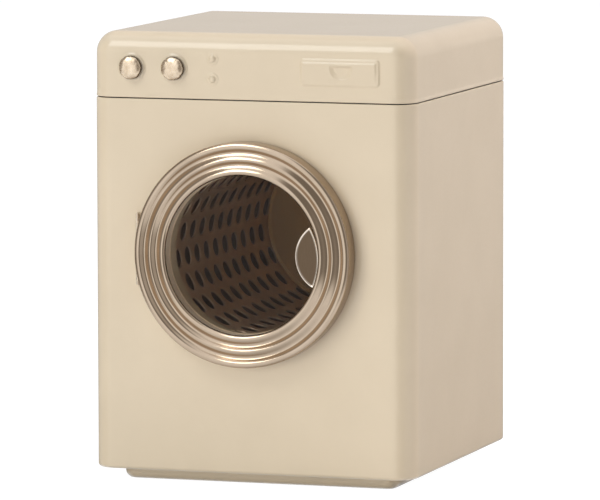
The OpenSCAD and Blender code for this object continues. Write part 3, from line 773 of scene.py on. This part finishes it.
grip = {
    "length": 16.7, "in": 4.6, "out": 2.05, "x": 19.75, "drop": 0.05, "turn": 2.9,
    "tipReach": 0.5, "tipCut": 0.3, "tipRate": 0.55, "plate": (3.6, 4.4), "foot": 1.4,
    "perSide": 40, "rimEdge": (0.38, 0.52),
}


def gripOutline(inset):
    # closed outline of two arcs that meet in rounded tips, set in by the same amount, in door coordinates
    g = grip
    half = g["length"] / 2
    bigR, smallR = [(half ** 2 + g[k] ** 2) / (2 * g[k]) for k in ("out", "in")]
    bigX, smallX = g["out"] - bigR, smallR - g["in"]
    bigR, smallR = bigR - inset, smallR - inset
    gap = smallX - bigX
    x = (bigR ** 2 - smallR ** 2 + gap ** 2) / (2 * gap)
    top = math.sqrt(bigR ** 2 - x ** 2)
    aBig, aSmall = math.atan2(top, x), math.atan2(top, x - gap)
    one = np.linspace(-aBig, aBig, g["perSide"] + 1)[:-1]
    two = np.linspace(aSmall, tau - aSmall, g["perSide"] + 1)[:-1]
    plan = np.concatenate([np.stack([bigX + bigR * np.cos(one), bigR * np.sin(one)], 1),
                           np.stack([smallX + smallR * np.cos(two), smallR * np.sin(two)], 1)])
    pastTip = np.maximum(0, np.abs(plan[:, 1]) - (top - g["tipReach"]))
    plan[:, 1] -= np.sign(plan[:, 1]) * g["tipCut"] * np.minimum(1, g["tipRate"] * pastTip) ** 2
    turn = math.radians(g["turn"])
    return np.stack([g["x"] + plan[:, 0] * math.cos(turn) - plan[:, 1] * math.sin(turn),
                     -g["drop"] + plan[:, 0] * math.sin(turn) + plan[:, 1] * math.cos(turn)], 1)


def buildGrip():
    # lens-shaped plate: outlines set in step by step, each at its own height, with a raised rounded rim
    h0, h1 = grip["plate"]
    foot = ((1.25, grip["foot"]), (1.2, grip["foot"] + 0.05), (1.15, h0 - 0.02), (0.9, h0))  # (inset, height)
    rimRows = ((0.12, h0), (0.0, h0 + 0.14), (0.0, h1 - 0.16), (0.06, h1 - 0.05), (0.17, h1),
               (0.27, h1 - 0.02), (0.36, h1 - 0.10), (0.46, h1 - 0.16))
    face = ((0.62, h1 - 0.18), (1.0, h1 - 0.18), (1.6, h1 - 0.17), (2.4, h1 - 0.15), (3.0, h1 - 0.14))
    inset, height = np.array(foot + rimRows + face).T
    plan = np.array([gripOutline(amount) for amount in inset])
    y = frontY - height[:, None] + 0 * plan[..., 0]
    points = np.stack([plan[..., 0] + doorAxis[0], y, plan[..., 1] + doorAxis[1]], -1)
    rows, count = points.shape[:2]
    end = rows * count
    flat = np.concatenate([points.reshape(-1, 3), [points[0].mean(0), points[-1].mean(0)]])
    tris = np.concatenate([fan(0, count, end, flip=True), fan(end - count, count, end + 1)])
    piece = makePiece("gripPlate", flat, gridQuads(rows, count, False, True), tris,
                      "door", gripGold, ("door_grip",))
    # the rim rows get the painted highlight colour and less roughness; the foot rows keep the plate's colour
    rimHighlight = np.where(np.arange(rows) < len(foot), 0, 1 - smoothStep(*grip["rimEdge"], inset))
    markPoints(piece, "rim", np.append(np.repeat(rimHighlight, count), [0, 0]))
    weldPiece(piece)


buildRing()
buildWindow()
buildGrip()
print("door ready")


drum = {
    "radius": 23.8, "sheet": 0.5, "front": -41.9, "back": 42.7, "mouth": 0.35,  # the sheet starts in the bead
    "holeDiameter": 5.2, "pitch": 8.0, "rows": 20, "step": 17.2, "start": 5.4, "firstRow": -5.7, "perRow": 10,
    "lipWidth": 0.16, "lipDepth": 0.07, "ease": 1.5, "side": 6, "along": 8,
    "endSteps": (1, 4), "seamSteps": (8, 21), "weld": 0.00002,
    "beadRadius": 0.34, "beadOut": 0.28, "beadBack": 0.36, "beadSteps": 17, "beadSegments": 200,
    "discHole": 1.5, "discFlat": 22.6, "discRise": 22.8, "discBend": (22.9, 23.7), "discRaise": 0.35,
    "discSteps": (60, 8), "discSegments": 160,
}


def plainStrip(a0, a1, y0, y1, na, ny):
    # plain stretch of the unrolled sheet as two parts, its inner face and then its outer one
    a, y = np.meshgrid(np.linspace(a0, a1, na + 1), np.linspace(y0, y1, ny + 1), indexing="ij")
    inner, outer = (np.stack([a, y, 0 * a + depth], -1).reshape(-1, 3) for depth in (0.0, drum["sheet"]))
    quads = gridQuads(na + 1, ny + 1)
    return [(inner, quads), (outer, quads[:, ::-1])]


def drumTile(rowWidth):
    # one tile of the unrolled sheet: its edge, a ring between, the hole's lip and the hole, then the same
    # rings back on the outer face; points are (along the roll, along the drum, depth in the sheet)
    d = drum
    edge = squareEdge(d["side"], d["along"]) * [rowWidth * d["radius"], d["pitch"]]
    around = np.arctan2(edge[:, 1], edge[:, 0])
    r = d["holeDiameter"] / 2
    circle = np.stack([r * np.cos(around), r * np.sin(around)], 1)
    between = (edge + circle * d["ease"]) / (1 + d["ease"])
    lip = (r + d["lipWidth"]) / r * circle
    inner = np.pad(np.stack([edge, between, lip, circle]), ((0, 0), (0, 0), (0, 1)))
    inner[3, :, 2] = d["lipDepth"]
    outer = inner[::-1].copy()
    outer[..., 2] = d["sheet"] - outer[..., 2]
    return np.concatenate([inner, outer])


def buildDrumShell():
    # unrolled sheet of square-to-circle tiles, every second row shifted half a pitch, with plain strips at
    # both ends and where the sheet meets itself, rolled to a tube
    d = drum
    rowWidth = math.radians(d["step"])
    tile = drumTile(rowWidth)
    tileQuads = gridQuads(len(tile), tile.shape[1], False, True)
    mouth, back = d["front"] + d["mouth"], d["back"]
    angles = -np.radians(d["step"] * np.arange(d["rows"]) + d["firstRow"])
    parts = []
    for i, angle in enumerate(angles):
        shift = (i % 2) / 2
        for k in range(d["perRow"]):
            y = d["front"] + d["start"] + d["pitch"] * (k + shift)
            rolled = np.stack([angle + tile[..., 0] / d["radius"], y + tile[..., 1], tile[..., 2]], -1)
            parts.append((rolled.reshape(-1, 3), tileQuads))
    for i, angle in enumerate(angles):
        a0, a1 = angle - rowWidth / 2, angle + rowWidth / 2
        y0 = d["front"] + d["start"] + d["pitch"] * ((i % 2) / 2 - 0.5)
        y1 = y0 + d["pitch"] * d["perRow"]
        parts += plainStrip(a0, a1, mouth, y0, d["side"], d["endSteps"][i % 2])
        parts += plainStrip(a0, a1, y1, back, d["side"], d["endSteps"][(i + 1) % 2])
    seam = angles[0] + rowWidth / 2 - tau, angles[-1] - rowWidth / 2
    parts += plainStrip(*seam, mouth, back, *d["seamSteps"])
    firsts = np.cumsum([0] + [len(points) for points, quads in parts])
    faces = np.concatenate([quads + first for (points, quads), first in zip(parts, firsts)])
    angle, y, depth = np.concatenate([points for points, quads in parts]).T
    radius = d["radius"] + depth
    points = np.stack([doorAxis[0] + radius * np.sin(angle), y, doorAxis[1] + radius * np.cos(angle)], 1)
    piece = makePiece("drumSheet", points, faces, None, "drum", drumMetal, ("drum_shell",))
    weldPiece(piece, d["weld"])


def buildTurned(name, profile, segments, y0, material, replaces=()):
    # closed section turned about the drum's axis
    grid = turned(profile, segments, y0)
    quads = gridQuads(*grid.shape[:2], True, True)
    weldPiece(makePiece(name, grid, quads, None, "drum", material, replaces))


def buildDrumEnds():
    # rolled bead round the mouth and the plain back disc, turned up at its edge
    d = drum
    bead = arc(d["radius"] + d["beadOut"], 0, d["beadRadius"], 0, 360, d["beadSteps"])[:-1]
    buildTurned("drumBead", bead, d["beadSegments"], d["front"] + d["beadBack"], drumMetal)
    flatSteps, riseSteps = d["discSteps"]
    r = np.concatenate([np.linspace(d["discHole"], d["discFlat"], flatSteps),
                        np.linspace(d["discRise"], d["radius"], riseSteps)])
    relief = d["discRaise"] * smoothStep(*d["discBend"], r)
    face, back = np.stack([r, relief], 1), np.stack([r[::-1], relief[::-1] - d["sheet"]], 1)
    disc = np.concatenate([face, back])
    place = d["back"] - d["sheet"]
    buildTurned("drumBackDisc", disc, d["discSegments"], place, drumBackMetal, ("drum_back",))


buildDrumShell()
buildDrumEnds()
print("drum ready")


knob = {
    "diameter": 6.6, "height": 1.8, "gap": 0.3, "rows": ((0.03, 0.93, 34), (0.945, 1.0, 8)), "segments": 144,
    "edgeHeight": 0.42, "lowest": 0.40, "crownReach": 0.985, "crownPower": 2.3,
    "dents": 34, "dentSpread": 0.98, "dentAngle": 2.39996, "dentWander": 0.25,  # the golden angle, in radians
    "dentDepth": (0.010, 0.042), "dentWidth": (0.12, 0.22), "dentShape": 0.45,
    "waves": ((0.010, 7, 1.0), (0.006, 13, 2.1)), "notches": 5, "notchDepth": 0.035, "notchWidth": 0.09,
    "side": ((1.0, 0.30), (1.0, 0.12), (0.975, 0.0)), "edgeShade": (0.93, 0.985),
}


def buildKnob(name, node, body, knobX, seed):
    # dome as height over (angle, radius), with hammer dents as soft hollows and an uneven, notched rim
    c = knob
    rng = np.random.default_rng(seed)
    t = np.concatenate([np.linspace(*steps) for steps in c["rows"]])
    a = np.linspace(0, tau, c["segments"], endpoint=False)
    t, a = np.meshgrid(t, a, indexing="ij")
    u, v = t * np.cos(a), t * np.sin(a)
    crown = np.sqrt(np.maximum(0, 1 - (t * c["crownReach"]) ** c["crownPower"]))
    dome = c["edgeHeight"] + (c["height"] - c["edgeHeight"]) * crown
    dents = c["dents"]
    k = np.arange(dents)
    spotR = np.sqrt((k + 0.5) / dents) * c["dentSpread"]
    spotA = k * c["dentAngle"] + rng.uniform(0, tau) + rng.normal(0, c["dentWander"], dents)
    depth = rng.uniform(*c["dentDepth"], dents)
    width = rng.uniform(*c["dentWidth"], dents)
    for q in range(dents):
        su, sv = spotR[q] * math.cos(spotA[q]), spotR[q] * math.sin(spotA[q])
        dome -= depth[q] * np.exp(-((u - su) ** 2 + (v - sv) ** 2) / (2 * width[q] ** 2 * c["dentShape"]))
    dome = np.maximum(dome, c["lowest"])
    wobble = np.ones_like(a)
    for amount, number, turn in c["waves"]:
        wobble -= amount * (1 + np.sin(a * number + turn * seed))
    for place in rng.uniform(0, tau, c["notches"]):
        away = np.angle(np.exp(1j * (a - place)))
        wobble -= c["notchDepth"] * np.exp(-(away / c["notchWidth"]) ** 2)
    r = c["diameter"] / 2 * t * (1 - (1 - wobble) * t ** 4)
    layers = [*np.stack([r * np.cos(a), r * np.sin(a), dome], -1)]
    for scale, h in c["side"]:
        edge = scale * r[-1]
        layers.append(np.stack([edge * np.cos(a[-1]), edge * np.sin(a[-1]), np.full(c["segments"], h)], 1))
    grid = np.array(layers)
    baseY = frontY - controls["seatRaise"] - c["gap"]
    points = np.stack([knobX + grid[..., 0], baseY - grid[..., 2], controls["row"] + grid[..., 1]], -1)
    rows, count = points.shape[:2]
    end = rows * count
    middles = [points[0].mean(0), [knobX, baseY, controls["row"]]]
    tris = np.concatenate([fan(0, count, end), fan(end - count, count, end + 1, flip=True)])
    piece = makePiece(name, np.concatenate([points.reshape(-1, 3), middles]),
                      gridQuads(rows, count, False, True), tris, body, brass, (node,))
    # the dome's outer edge and its side are marked for the painted shade
    rim = np.append(smoothStep(*c["edgeShade"], t[:, 0]), np.ones(len(c["side"])))
    markPoints(piece, "rim", np.append(np.repeat(rim, count), [0, 1]))
    weldPiece(piece)


buildKnob("knobLeft", "knob_left", "left_knob", controls["knobs"][0], 5)
buildKnob("knobRight", "knob_right", "right_knob", controls["knobs"][1], 11)
print("knobs ready")


# solids of the frame that keep their shape, by finish
keptSolids = (
    (paint, "base_pan", "mouth_collar"), (seamShadeTin, "cap_neck"), (drumBackMetal, "drum_hub"),
    (tin, "drum_axle", "axle_cap", "knob_washer_left", "knob_washer_right"),
    (brass, "axle_bush", "knob_post_left", "knob_post_right"), (gold, "door_backing"),
    (seal, "window_gasket"), (magnet, "door_magnet"),
    (hingeGold, "hinge_leaf_cabinet", "hinge_leaf_door", "hinge_pin"),
)
for material, *nodes in keptSolids:
    for node in nodes:
        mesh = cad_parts[node].data
        mesh.materials.clear()
        mesh.materials.append(material)
print("kept solids dressed")


view = {
    "azimuth": 18.2572, "elevation": 6.0915, "roll": -0.1111, "distance": 1737.45, "aimHeight": 62.5,
    "width": 600, "height": 500, "focal": 6171.95, "centreX": 303.457, "centreY": 244.806,  # in pixels
    "sensor": 36, "farthest": 20,
}


def direction(azimuth, elevation):
    # unit vector toward a place round the toy: 0 is the front, 90 the right
    az, el = math.radians(azimuth), math.radians(elevation)
    return Vector((math.sin(az) * math.cos(el), -math.cos(az) * math.cos(el), math.sin(el)))


def buildCamera():
    # looks from its direction at the toy's middle, turned by the roll and shifted by the picture's centre
    back = direction(view["azimuth"], view["elevation"])
    az, roll = math.radians(view["azimuth"]), math.radians(view["roll"])
    right = Vector((math.cos(az), math.sin(az), 0))
    up = back.cross(right)
    side = math.cos(roll) * right + math.sin(roll) * up
    top = -math.sin(roll) * right + math.cos(roll) * up
    width = view["width"]
    camera = bpy.data.cameras.new("camera")
    camera.sensor_width = view["sensor"]
    camera.lens = view["focal"] / width * view["sensor"]
    camera.shift_x = (width / 2 - view["centreX"]) / width
    camera.shift_y = (view["centreY"] - view["height"] / 2) / width
    camera.clip_end = view["farthest"]
    holder = bpy.data.objects.new("camera", camera)
    turn = Matrix((side, top, back)).transposed().to_4x4()
    place = Vector((0, 0, view["aimHeight"] * mm)) + back * view["distance"] * mm
    holder.matrix_world = Matrix.Translation(place) @ turn
    bpy.context.scene.collection.objects.link(holder)
    bpy.context.scene.camera = holder


lampAim = 0.06  # height that the lamps face, in metres


def aimedLight(name, azimuth, elevation, distance, width, height, power, colour, mirrored=False):
    # rectangular lamp on a ball round the toy, facing its middle
    away = direction(azimuth, elevation)
    lamp = bpy.data.lights.new(name, "AREA")
    lamp.shape = "RECTANGLE"
    lamp.size, lamp.size_y = width, height
    lamp.energy = power
    lamp.color = colour
    holder = bpy.data.objects.new(name, lamp)
    holder.location = Vector((0, 0, lampAim)) + away * distance
    holder.rotation_euler = away.to_track_quat("Z", "Y").to_euler()
    holder.visible_glossy = mirrored
    holder.visible_camera = False
    bpy.context.scene.collection.objects.link(holder)


def seenRays(tree):
    # 1 for rays that come straight from the camera, from a mirror or through glass
    rays = tree.nodes.new("ShaderNodeLightPath").outputs
    seen = addMath(tree, "MAXIMUM", rays["Is Camera Ray"], rays["Is Glossy Ray"])
    return addMath(tree, "MAXIMUM", seen, rays["Is Transmission Ray"])


floor = {
    "near": -1.5, "far": 2.0, "halfWidth": 2.5, "curve": 0.6, "flatShare": 0.7, "rows": 40, "cols": 12,
    "drop": 0.05, "colour": (0.72, 0.72, 0.72), "rough": 0.9, "specular": 0.1, "glow": 0.85, "tone": 1.16,
}


def buildFloor():
    # wide pale floor that curves up far behind: y runs straight, then on as a sine while z rises as one minus
    # the cosine; rays from the camera or through glass see it near white with a faint shadow
    c = floor
    s = np.linspace(0, 1, c["rows"])
    bend = np.maximum(0, s - c["flatShare"]) / (1 - c["flatShare"]) * math.pi / 2
    straight = c["near"] + np.minimum(1, s / c["flatShare"]) * (c["far"] - c["near"])
    y, z = straight + c["curve"] * np.sin(bend), c["curve"] * (1 - np.cos(bend))
    x, y = np.meshgrid(np.linspace(-c["halfWidth"], c["halfWidth"], c["cols"]), y)
    grid = np.stack([x, y, z[:, None] + 0 * x], -1) / mm
    grid[..., 2] -= c["drop"]  # just under the plinth, so the two faces never lie in one plane
    piece = makePiece("floor", grid, gridQuads(c["rows"], c["cols"]))
    material, tree, shader = newMaterial("paleFloor", Roughness=c["rough"], Specular_IOR_Level=c["specular"])
    shader.inputs["Base Color"].default_value = (*c["colour"], 1)
    glow = tree.nodes.new("ShaderNodeEmission")
    glow.inputs["Strength"].default_value = c["tone"]
    shown = tree.nodes.new("ShaderNodeMixShader")
    tree.links.new(addMath(tree, "MULTIPLY", seenRays(tree), c["glow"]), shown.inputs[0])
    tree.links.new(shader.outputs[0], shown.inputs[1])
    tree.links.new(glow.outputs[0], shown.inputs[2])
    tree.links.new(shown.outputs[0], tree.nodes["Material Output"].inputs[0])
    piece.data.materials.append(material)
    piece.visible_glossy = False  # mirror-like rays meet the studio ball instead


# tones by direction; azimuth is 0 in front and 90 at the right, and each band gives where it starts, is full,
# is still full and ends, in degrees
shell = {
    "radius": 3.2, "reach": 88, "cols": 133, "rows": 180,
    "walls": 0.42, "behind": 0.25, "backdrop": 0.48, "overhead": 1.3,
    "front": 1.4, "dark": 0.34, "right": 0.7,
    "aheadAzimuth": (-125, -100, 100, 125), "backdropElevation": (-9, 4, 15, 48), "overheadFrom": (45, 65),
    "frontAzimuth": (-60, -42, 4, 22), "darkAzimuth": (14, 26, 44, 54), "darkElevation": (-50, -30, 50, 68),
    "rightAzimuth": (54, 62, 86, 98), "rightElevation": (-26, -14, 45, 60),
    "floor": (0.65, 1.25), "floorRise": (-90, -30), "floorEdge": (-30, -14),
    "warm": (1.0, 0.90, 0.80), "cool": (0.97, 1.0, 1.04),
}


def shellTone(az, el):
    # mid walls, darker behind with a paler backdrop low down, broad lights overhead and in front, a dark gap
    # and a lamp on the right, then a floor that brightens toward its edge
    c = shell
    tone = np.full(az.shape, c["walls"])
    ahead = band(az, *c["aheadAzimuth"])
    shares = {
        "behind": 1 - ahead,
        "backdrop": (1 - ahead) * band(el, *c["backdropElevation"]),
        "overhead": ahead * smoothStep(*c["overheadFrom"], el),
        "front": band(az, *c["frontAzimuth"]),
        "dark": band(az, *c["darkAzimuth"]) * band(el, *c["darkElevation"]),
        "right": band(az, *c["rightAzimuth"]) * band(el, *c["rightElevation"]),
    }
    for key, share in shares.items():
        tone += (c[key] - tone) * share
    below, edge = c["floor"]
    floorTone = below + (edge - below) * smoothStep(*c["floorRise"], el)
    return tone + (floorTone - tone) * (1 - smoothStep(*c["floorEdge"], el))


def buildShell():
    # ball of studio surroundings that only mirror-like rays meet: a point for each azimuth and elevation
    c = shell
    azimuths = np.linspace(-180, 180, c["rows"], endpoint=False)
    az, el = np.meshgrid(azimuths, np.linspace(-c["reach"], c["reach"], c["cols"]), indexing="ij")
    a, e = np.radians(az), np.radians(el)
    top = c["radius"] / mm
    points = top * np.stack([np.sin(a) * np.cos(e), -np.cos(a) * np.cos(e), np.sin(e)], -1)
    points = np.concatenate([points.reshape(-1, 3), [[0, 0, top], [0, 0, -top]]])
    rows, cols = az.shape
    end = rows * cols
    poles = [fan(cols - 1, rows, end, step=cols), fan(0, rows, end + 1, flip=True, step=cols)]
    walls = makePiece("studioWalls", points, gridQuads(rows, cols, True, False), np.concatenate(poles))
    markPoints(walls, "tone", np.append(shellTone(az, el).ravel(), [c["overhead"], c["floor"][0]]))
    material = bpy.data.materials.new("studioWalls")
    material.use_nodes = True
    tree = material.node_tree
    tree.nodes.clear()
    glow = tree.nodes.new("ShaderNodeEmission")
    tone = readMark(tree, "tone")
    tree.links.new(tone, glow.inputs["Strength"])
    tree.links.new(mixColours(tree, tone, c["warm"], c["cool"]), glow.inputs["Color"])
    tree.links.new(glow.outputs[0], tree.nodes.new("ShaderNodeOutputMaterial").inputs[0])
    walls.data.materials.append(material)
    walls.visible_camera = walls.visible_diffuse = walls.visible_shadow = walls.visible_transmission = False


fill = {"strength": 0.07, "colour": (1.0, 0.98, 1.0)}


def buildWorld():
    # white for camera, mirror and glass rays; softer for what lights the toy
    world = bpy.data.worlds.new("world")
    bpy.context.scene.world = world
    world.use_nodes = True
    tree = world.node_tree
    tree.nodes.clear()
    shown = tree.nodes.new("ShaderNodeBackground")
    shown.inputs["Color"].default_value = (1, 1, 1, 1)
    light = tree.nodes.new("ShaderNodeBackground")
    light.inputs["Color"].default_value = (*fill["colour"], 1)
    light.inputs["Strength"].default_value = fill["strength"]
    mix = tree.nodes.new("ShaderNodeMixShader")
    tree.links.new(seenRays(tree), mix.inputs[0])
    tree.links.new(light.outputs[0], mix.inputs[1])
    tree.links.new(shown.outputs[0], mix.inputs[2])
    tree.links.new(mix.outputs[0], tree.nodes.new("ShaderNodeOutputWorld").inputs[0])


buildCamera()
buildWorld()
buildFloor()
# each lamp: azimuth, elevation, distance, width, height, power and colour, in degrees, metres and watts
aimedLight("softboxFront", -22, 8, 2.4, 1.5, 1.2, 21.2, (1.0, 1.0, 0.98))
aimedLight("softboxHigh", -29, 44, 2.4, 1.05, 1.1, 14.8, (1.0, 1.0, 0.98), mirrored=True)
aimedLight("softboxLow", 5, -10, 0.3, 0.4, 0.06, 0.12, (1.0, 0.97, 0.92))
aimedLight("softboxLeft", -90, 55, 1.6, 1.0, 0.8, 9.2, (0.92, 1.0, 1.15))
aimedLight("softboxRight", 125, 42, 1.6, 1.0, 0.8, 22.5, (1.03, 1.0, 1.05))
aimedLight("softboxBack", 180, 60, 1.6, 1.0, 0.8, 5.5, (1.0, 1.0, 1.2))
buildShell()
bpy.context.scene.view_settings.view_transform = "Standard"
print("stage ready")
